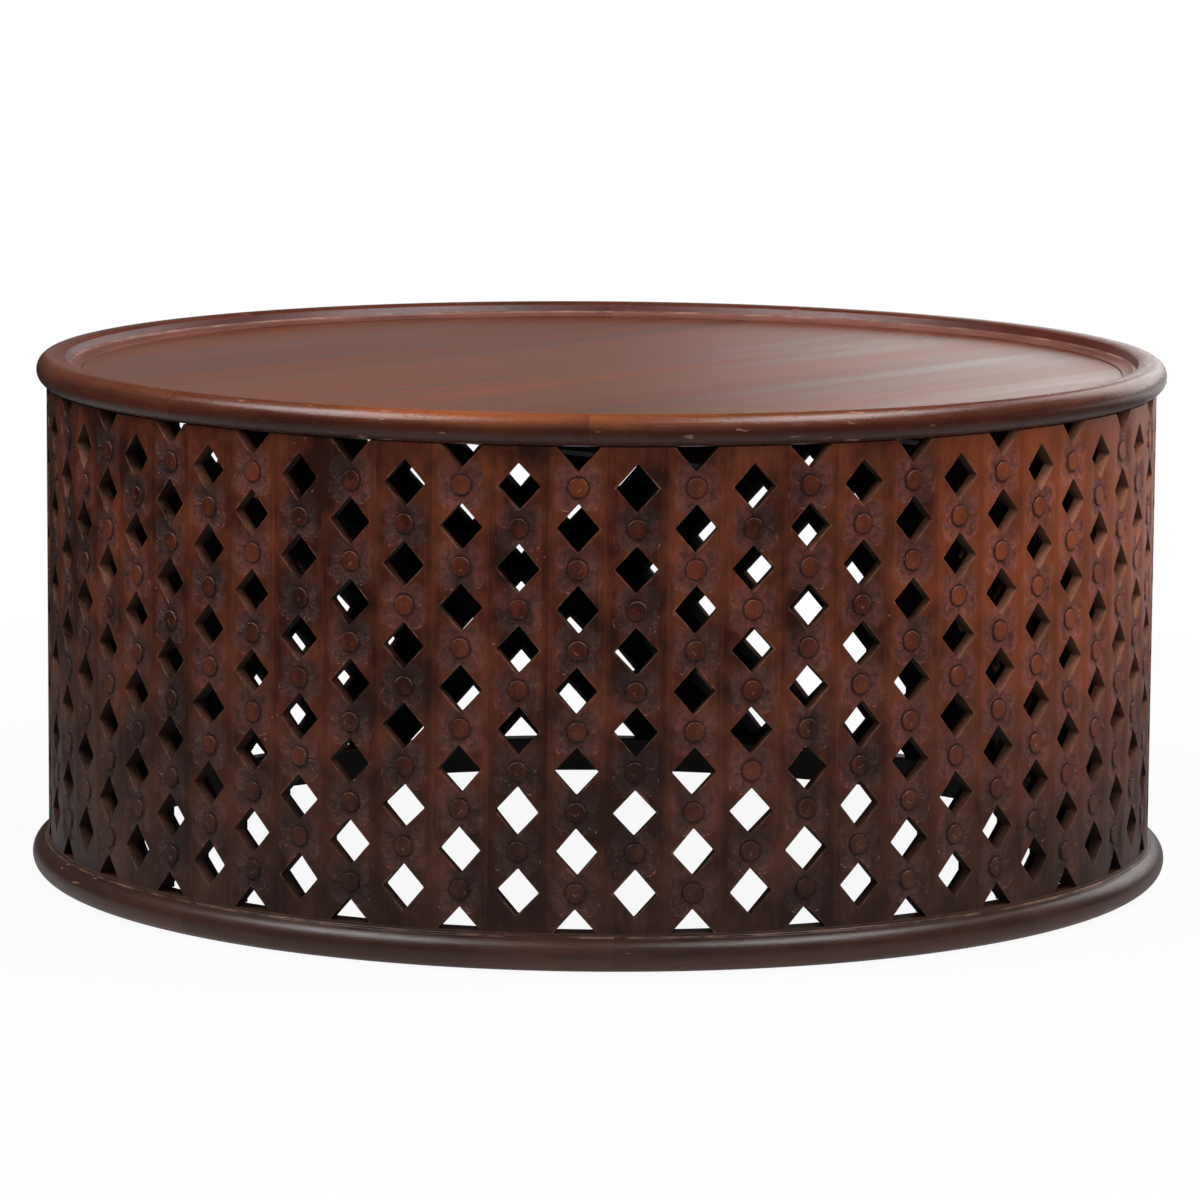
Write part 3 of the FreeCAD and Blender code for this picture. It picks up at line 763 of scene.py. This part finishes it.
# %% [markdown]
# ## The rings
# The base ring and the tray rim are each glued up from eight curved pieces and turned to a
# half round outside. The base ring has a fine step under the wall. The rim has an eased top,
# a steep inner wall, a fine ledge and a hollow cove down to the boards. A section drawn point
# by point and spun through an eighth of the circle gives every one of those forms, and copies
# of it make the ring.

# %% Sections of the rings
def arc(centre_x, centre_z, radius, start, end, steps):
    """Points of an arc in mm; angles in degrees, 0 outwards and 90 up."""
    angles = [math.radians(start + (end - start) * k / steps) for k in range(steps + 1)]
    return [(centre_x + radius * math.cos(a), centre_z + radius * math.sin(a)) for a in angles]


def sagging(start, end, sag, steps):
    """Points from start to end that hang below the straight line by up to sag."""
    points = []
    for k in range(steps + 1):
        share = k / steps
        drop = sag * 4 * share * (1 - share)
        along = (end[0] - start[0], end[1] - start[1])
        length = math.hypot(*along)
        points.append((start[0] + along[0] * share + along[1] / length * drop,
                       start[1] + along[1] * share - along[0] / length * drop))
    return points


base_section = ([(424.0, 0.0)] + arc(442.5, 12.5, 12.5, -90, 78, 20) +
                [(444.9, 24.9), (444.7, 26.0), (444.3, 26.3), (442.25, 26.3), (442.2, 28.0),
                 (424.6, 28.0), (424.0, 27.4)])
rim_section = ([(430.5, 388.0)] + arc(438, 400, 12, -90, 90, 20) +
               [(436.0, 411.95), (434.0, 411.8), (432.0, 411.5), (430.2, 411.1), (428.6, 410.6),
                (427.6, 410.1), (427.0, 409.4), (425.3, 405.0), (425.0, 404.6), (423.8, 404.5),
                (423.4, 404.35)] +
               sagging((423.2, 404.0), (414.9, 401.05), -1.2, 8)[1:] +
               [(414.5, 400.8), (414.5, 399.0), (430.5, 399.0)])
print("sections of", len(base_section), "and", len(rim_section), "points")


# %% Spin the rings
def ring_piece(name, section, segment_turn, steps):
    """One curved piece of a ring, starting at the front of the drum."""
    piece = primitive(bpy.ops.mesh.primitive_plane_add, name, size=MM,
                      location=(0, -section[0][0] * MM, section[0][1] * MM))
    rest_place(piece)
    edit(piece, "VERT")
    bpy.ops.mesh.select_all(action="SELECT")
    bpy.ops.mesh.merge(type="CENTER")
    for here, after in zip(section, section[1:]):
        step = (0, -(after[0] - here[0]) * MM, (after[1] - here[1]) * MM)
        bpy.ops.mesh.extrude_region_move(TRANSFORM_OT_translate={"value": step})
    bpy.ops.mesh.select_all(action="SELECT")
    bpy.ops.mesh.edge_face_add()
    bpy.ops.mesh.spin(steps=steps, angle=-segment_turn, center=(0, 0, 0), axis=(0, 0, 1))
    close_up()
    bpy.ops.object.shade_smooth_by_angle(angle=math.radians(24))
    return piece


SEGMENTS = 8
BASE_TURN, RIM_TURN = 3.7, 1.0  # degrees from the front to the first joint
JOINT = 0.05 / WALL_RADIUS
eighth = 2 * math.pi / SEGMENTS
rings = {}
for ring, section, first_turn, node in (
        ("base_ring", base_section, BASE_TURN, "base_ring_segment_%d"),
        ("tray_rim", rim_section, RIM_TURN, "rim_segment_%d")):
    master = ring_piece(ring, section, eighth - JOINT, 32)
    rings[ring] = []
    for k in range(SEGMENTS):
        turn = Matrix.Rotation(math.radians(first_turn) + eighth * k, 4, "Z")
        piece = copy_of(master, "%s_%d" % (ring, k + 1), turn)
        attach(piece, "root")
        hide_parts(node % (k + 1))
        rings[ring].append(piece)
    bpy.data.objects.remove(master)
    print(ring, "of", SEGMENTS, "pieces,", len(rings[ring][0].data.polygons), "faces each")

# %% [markdown]
# ## Finish of the rings
# Rings are varnished like the wall, but handled more: the rim has a satin shine and worn nicks
# on its crest. Its crest is coloured lighter, as painted light from above, and its underside
# greyer, as a painted reflection of the floor. The grain runs along each curved piece, so the
# coordinates are wrapped round the ring, piece by piece, and change at the glued joints.

# %% Group: ring places
nodes, given, made = new_group("ring places", "Vector First",
                               "Grain Piece Height Outward Joint Front")
z, outward, around = round_axis(nodes, given["Vector"])
place_round = nodes.math("DIVIDE", nodes.minus(around, given["First"]), eighth)
whole = nodes.math("FLOOR", place_round)
share = nodes.minus(place_round, whole)
own = nodes.chance(nodes.math("FLOORED_MODULO", whole, SEGMENTS))
from_middle = nodes.math("ABSOLUTE", nodes.minus(share, 0.5))
from_front = nodes.math("ABSOLUTE", nodes.minus(around, 0.04))
nodes.give(made, Piece=own, Height=nodes.math("DIVIDE", z, MM),
           Outward=nodes.math("DIVIDE", outward, MM),
           Grain=nodes.vector(nodes.times_plus(own, 7.0, outward), z,
                              nodes.times(share, eighth * WALL_RADIUS * MM)),
           Joint=nodes.times(nodes.minus(0.5, from_middle), eighth * WALL_RADIUS),
           Front=nodes.fit(from_front, 0.25, 0.65, 1, 0, smooth=True))
print("group 'ring places' has", len(nodes.tree.nodes), "nodes")


# %% Materials: rim and base varnish
def ring_varnish(name, first_turn, low, high, tones, shine, inner=None):
    """Varnish of a ring: tones are pairs, deep and light, for underside, side, crest and the
    crest at the front, which is lighter; inner has such pairs for the inner wall and cove."""
    material, nodes, place = new_material(name)
    ring = use_group(nodes, "ring places", Vector=place, First=math.radians(first_turn))
    grain = use_group(nodes, "wood grain", Vector=ring["Grain"], Width=0.012)
    turned = nodes.split(ring["Grain"])
    drawn_out = nodes.vector(nodes.times(turned["Z"], 0.25), turned["X"], turned["Y"])
    wear = use_group(nodes, "wear", Vector=drawn_out, Amount=0.12)
    clouds = nodes.noise(nodes.scaled(ring["Grain"], 1, 1, 0.4), 24, 3, 0.55)
    tone = nodes.times(ring["Piece"], 0.2)
    for part, amount in ((clouds, 0.8), (grain["Bands"], 0.6), (grain["Streaks"], 0.35)):
        tone = nodes.times_plus(part, amount, tone)
    light = nodes.fit(tone, 0.7, 1.25)
    under, side, crest, front = (nodes.mix(light, *pair) for pair in tones)
    lighter_front = nodes.times(ring["Front"], nodes.fit(clouds, 0.3, 0.55, 0.6, 1))
    middle = (low + high) / 2
    rough_height = nodes.times_plus(clouds, 3.0, nodes.minus(ring["Height"], 1.5))
    colour = nodes.mix(nodes.fit(rough_height, low, middle, smooth=True), under, side)
    colour = nodes.mix(nodes.fit(rough_height, middle, high, smooth=True), colour,
                       nodes.mix(lighter_front, crest, front))
    # a pale line runs along the rim's ledge, a painted highlight, or along the step of the base
    # ring, where it is worn
    line_low, line_high = (403.6, 404.8) if inner else (24.9, 26.2)
    line = nodes.times(nodes.fit(ring["Height"], line_low - 0.2, line_low + 0.2),
                       nodes.fit(ring["Height"], line_high - 0.2, line_high + 0.2, 1, 0))
    if inner:
        line_place = nodes.fit(ring["Outward"], 427.2, 428.4, 1, 0)
        low_down = nodes.fit(ring["Height"], 403.2, 404.2, 1, 0)
        wall, cove = (nodes.mix(light, *pair) for pair in inner)
        colour = nodes.mix(line_place, colour, nodes.mix(low_down, wall, cove))
        duller = nodes.fit(ring["Outward"], 430, 436, 0.07, 0.0)
    else:
        line_place = nodes.fit(ring["Outward"], 445.0, 446.0, 1, 0)
        shelf = nodes.times(nodes.fit(ring["Outward"], 444.0, 444.6, 1, 0),
                            nodes.fit(wear["Dust"], 0.3, 0.7, 0.2, 0.8))
        colour = nodes.mix(shelf, colour, (104, 76, 58))
        # painted shade: the inner part of the base ring, inside the drum, is coloured near black
        shaded_inside = nodes.fit(ring["Outward"], 426.5, 428.5, 1, 0)
        colour = nodes.mix(shaded_inside, colour, (13, 9, 8))
        duller = nodes.times(shaded_inside, 0.5)
    broken_up = nodes.fit(nodes.noise(nodes.scaled(ring["Grain"], 1, 1, 0.3), 130, 3, 0.6),
                        0.45, 0.62, 0.3 if inner else 0.0, 0.9 if inner else 0.6)
    glint_and_wear_line = nodes.times(nodes.times(line, line_place), broken_up)
    colour = nodes.mix(glint_and_wear_line, colour, (158, 120, 102))
    colour = nodes.mix(nodes.times(grain["Pores"], 0.35), colour, (34, 15, 10))
    colour = nodes.mix(nodes.fit(ring["Joint"], 0.1, 0.35, 0.35, 0.0), colour, (36, 18, 13))
    pale_marks = nodes.math("MAXIMUM", nodes.times(wear["Nicks"], 0.6),
                        nodes.times(wear["Scratches"], 0.4))
    gloss = nodes.plus(nodes.fit(wear["Ripple"], 0.3, 0.7, shine, shine + 0.06),
                       nodes.times(pale_marks, 0.25))
    surface = nodes.plus(nodes.times(nodes.noise(place, 700, 2), 0.6),
                         nodes.plus(nodes.times(grain["Streaks"], 0.4), nodes.times(pale_marks, -1.2)))
    nodes.finish(nodes.mix(pale_marks, colour, (168, 120, 98)),
                 nodes.plus(gloss, duller), surface, 0.4, 0.0007)
    return material


# painted light: the rim's crest tones are lighter than its side, as if lit from above, and its
# underside tones greyer, a painted reflection of the floor; the front crest tones are lighter
# still
rim_varnish = ring_varnish("rim_varnish", RIM_TURN, 390, 410, (
    ((46, 28, 24), (70, 42, 35)), ((48, 21, 13), (84, 38, 23)), ((69, 31, 18), (110, 56, 33)),
    ((106, 54, 28), (150, 81, 44))), 0.25, (((58, 24, 18), (100, 43, 32)),
                                            ((84, 46, 38), (136, 86, 74))))
base_crest = ((38, 20, 16), (68, 37, 28))
base_varnish = ring_varnish("base_varnish", BASE_TURN, 2, 26, (
    ((70, 43, 34), (106, 67, 54)), ((42, 23, 18), (78, 45, 36)), base_crest, base_crest), 0.32)
for piece in rings["tray_rim"]:
    wear_material(piece, rim_varnish)
for piece in rings["base_ring"]:
    wear_material(piece, base_varnish)
print("ring finishes:", rim_varnish.name, base_varnish.name)

# %% [markdown]
# ## Finish of the tray
# The round panel is glued from six boards that lie askew to the front. Its varnish is thick
# and nearly flat, so it mirrors the room at a low angle, and the grain shows as long slanting
# streaks below the shine. The boards are the CAD nodes themselves, which are plain flat
# boards in the real table too, so they only need a finish.

# %% Material: tray varnish
PANEL_TURN, BOARD_COUNT, PANEL_RADIUS = 52, 6, 430


def along_boards(nodes, place, turn):
    """A point's X, Y and Z where X runs along boards that are turned by this many degrees."""
    turned = nodes.add("Mapping", {"vector_type": "TEXTURE"}, Vector=place,
                       Rotation=(0, 0, math.radians(turn)))
    return nodes.split(turned.outputs[0])


tray_varnish, nodes, place = new_material("tray_varnish")
xyz = along_boards(nodes, place, PANEL_TURN)
board = nodes.math("FLOOR", nodes.math("DIVIDE", nodes.plus(xyz["Y"], PANEL_RADIUS * MM),
                                       2 * PANEL_RADIUS / BOARD_COUNT * MM))
own = nodes.chance(board)
lengthwise = nodes.vector(nodes.times_plus(own, 5.0, xyz["Y"]), xyz["Z"], xyz["X"])
grain = use_group(nodes, "wood grain", Vector=lengthwise, Width=0.03)
unbroken = nodes.vector(xyz["Y"], xyz["Z"], xyz["X"])
fine = use_group(nodes, "wood grain", Vector=unbroken, Width=0.009)
tone = nodes.plus(nodes.times(own, 0.15), nodes.plus(nodes.times(grain["Bands"], 0.9),
                                                     nodes.times(fine["Streaks"], 0.12)))
colour = nodes.mix(nodes.fit(tone, 0.36, 0.88), (88, 44, 26), (126, 68, 42))
colour = nodes.mix(nodes.times(fine["Pores"], 0.12), colour, (52, 25, 16))
nodes.finish(colour, nodes.fit(grain["Bands"], 0.35, 0.65, 0.27, 0.33),
             nodes.noise(place, 500, 3, 0.6), 0.14, 0.0004)
for k in range(BOARD_COUNT):
    wear_material(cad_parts["top_board_%d" % (k + 1)], tray_varnish)
print("tray boards finished:", BOARD_COUNT)

# %% [markdown]
# ## Finish of the hidden pieces
# Under the tray are battens, cleats, dowels and screws. They are plain stained wood and
# zinc-plated steel, which nobody sees in the photograph but anyone sees who turns the table
# over. The battens run across the boards, so their grain is turned by a further quarter.

# %% Materials: inner wood and screws
inner_wood, nodes, place = new_material("inner_wood")
xyz = along_boards(nodes, place, PANEL_TURN + 90)
grain = use_group(nodes, "wood grain", Vector=nodes.vector(xyz["Y"], xyz["Z"], xyz["X"]),
                  Width=0.012)
tone = nodes.plus(nodes.times(grain["Bands"], 0.7), nodes.times(grain["Streaks"], 0.3))
colour = nodes.mix(nodes.fit(tone, 0.35, 0.65), (28, 16, 13), (44, 25, 19))
colour = nodes.mix(nodes.times(grain["Pores"], 0.4), colour, (12, 7, 5))
nodes.finish(colour, nodes.fit(grain["Streaks"], 0.3, 0.7, 0.6, 0.8),
             grain["Streaks"], 0.4, 0.0006)
for name in ("batten_left", "batten_middle", "batten_right", "corner_cleats", "ring_dowels"):
    wear_material(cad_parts[name], inner_wood)

zinc_steel, nodes, place = new_material("zinc_steel")
flow = nodes.noise(place, 900, 3, 0.6)
stains = nodes.fit(nodes.noise(place, 300, 2), 0.6, 0.75, 0.0, 0.6)
colour = nodes.mix(flow, (150, 148, 142), (196, 193, 184))
zinc_steel.node_tree.nodes["Principled BSDF"].inputs["Metallic"].default_value = 1.0
nodes.finish(nodes.mix(stains, colour, (96, 82, 66)),
             nodes.fit(flow, 0.3, 0.7, 0.3, 0.5), flow, 0.3, 0.0002)
wear_material(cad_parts["batten_screws"], zinc_steel)
print("hidden pieces finished")

# %% [markdown]
# ## Floor, world and lamps
# The photograph is cut out on white, so the floor and the world show white to the camera and
# through the openings, while the lamps stay at a plain level. The floor keeps a soft shadow.
# Gloss shows it as pale near the table and far behind it on the right, and dim elsewhere. Two
# soft lamps overhead, left and right, draw the long highlights on the rim. Three fills
# without a mirror image light the wall all round. Behind the table stands a pale card that
# gets brighter and taller to the right, and the tray mirrors it at the camera's low angle.

# %% Floor
floor = primitive(bpy.ops.mesh.primitive_circle_add, "studio_floor", vertices=96, radius=26,
                  fill_type="NGON", location=(0, 0, -0.2 * MM))
rest_place(floor)
floor_paint, nodes, place = new_material("floor_paint")
speckle = nodes.noise(place, 3, 2)
shader = floor_paint.node_tree.nodes["Principled BSDF"]
nodes.give(shader.inputs, Base_Color=nodes.mix(speckle, (196, 196, 196), (204, 204, 204)),
           Roughness=0.8, Specular_IOR_Level=0.1)
rays = nodes.add("LightPath").outputs
from_axis = nodes.add("VectorMath", {"operation": "LENGTH"}, Vector=place).outputs["Value"]
seen = nodes.times(nodes.math("MAXIMUM", rays["Is Camera Ray"], rays["Is Transmission Ray"]),
                   nodes.fit(from_axis, 0.6, 1.6, 0.93, 1.0))
xyz = nodes.split(place)
behind = nodes.times(nodes.fit(xyz["Y"], 1.0, 1.8), nodes.fit(xyz["X"], 0.0, 0.7, 0.04, 0.9))
mirrored = nodes.math("MAXIMUM", behind,
                      nodes.fit(from_axis, 0.55, 1.5, 0.36, 0.04, smooth=True))
strength = nodes.mix(rays["Is Glossy Ray"], (1, 1, 1, 1), mirrored)
white = nodes.add("Emission", Color=(1, 1, 1, 1), Strength=strength)


def blended(nodes, output, share, first, second):
    """Feeds an output node with two shaders, the second by this share."""
    blend = nodes.add("MixShader", Fac=share)
    nodes.feed(blend.inputs[1], first.outputs[0])
    nodes.feed(blend.inputs[2], second.outputs[0])
    nodes.feed(nodes.tree.nodes[output].inputs["Surface"], blend.outputs[0])


blended(nodes, "Material Output", nodes.math("MAXIMUM", seen, rays["Is Glossy Ray"]),
        shader, white)
wear_material(floor, floor_paint)
print("floor", [round(d, 1) for d in floor.dimensions], "m")

# %% World
AMBIENT, MIRRORED = 0.2, 0.05
world = bpy.data.worlds.new("studio")
world.use_nodes = True
bpy.context.scene.world = world
nodes = Nodes(world.node_tree)
rays = nodes.add("LightPath").outputs
ambient = world.node_tree.nodes["Background"]
nodes.give(ambient.inputs, Color=(1, 1, 1, 1), Strength=nodes.mix(
    rays["Is Glossy Ray"], (AMBIENT,) * 3 + (1,), (MIRRORED,) * 3 + (1,)))
backdrop = nodes.add("Background", Color=(1, 1, 1, 1), Strength=1.0)
seen = nodes.math("MAXIMUM", rays["Is Camera Ray"], rays["Is Transmission Ray"])
blended(nodes, "World Output", seen, ambient, backdrop)
print("world lights with", AMBIENT, "and mirrors as", MIRRORED)


# %% Lamps
def soft_lamp(name, place, aim, width, height, watts, shows=True):
    """A rectangular soft lamp that the camera doesn't see; gloss shows it or not."""
    data = bpy.data.lights.new(name, "AREA")
    data.shape = "RECTANGLE"
    data.size, data.size_y, data.energy = width, height, watts
    lamp = bpy.data.objects.new(name, data)
    bpy.context.scene.collection.objects.link(lamp)
    lamp.location = place
    lamp.rotation_euler = (Vector(aim) - Vector(place)).to_track_quat("-Z", "Y").to_euler()
    lamp.visible_camera = False
    lamp.visible_glossy = shows


soft_lamp("left_lamp", (-1.32, -0.60, 2.20), (-0.17, -0.42, 0.4), 1.55, 1.1, 38)
soft_lamp("right_lamp", (1.06, -0.45, 2.20), (0.15, -0.41, 0.4), 1.6, 0.95, 34)
soft_lamp("front_fill", (0.6, -3.0, 1.6), (0, 0, 0.25), 2.5, 1.5, 30, shows=False)
soft_lamp("back_fill", (-0.6, 3.1, 1.5), (0, 0, 0.2), 2.5, 1.5, 26, shows=False)
soft_lamp("side_fill", (2.4, 0.5, 0.9), (0.35, -0.1, 0.2), 1.4, 1.4, 16, shows=False)

# %% Reflector card
card = primitive(bpy.ops.mesh.primitive_plane_add, "reflector_card", size=1,
                 rotation=(math.pi / 2, 0, 0), location=(0.85, 2.0, 1.75))
card.scale = (3.5, 2.5, 1)
rest_place(card)
card.visible_camera = card.visible_transmission = False
card_paint, nodes, place = new_material("card_paint")
xyz = nodes.split(place)
top = nodes.fit(xyz["X"], 0.8, 1.4, 0.75, 2.6)
strength = nodes.times(nodes.fit(xyz["X"], -0.1, 0.6, 0.29, 2.05, smooth=True),
                       nodes.fit(nodes.minus(xyz["Z"], top), 0.0, 0.35, 1.0, 0.0))
glow = nodes.add("Emission", Color=(1, 1, 1, 1), Strength=strength)
nodes.feed(card_paint.node_tree.nodes["Material Output"].inputs["Surface"], glow.outputs[0])
wear_material(card, card_paint)
print("card", [round(d, 2) for d in card.dimensions], "m")
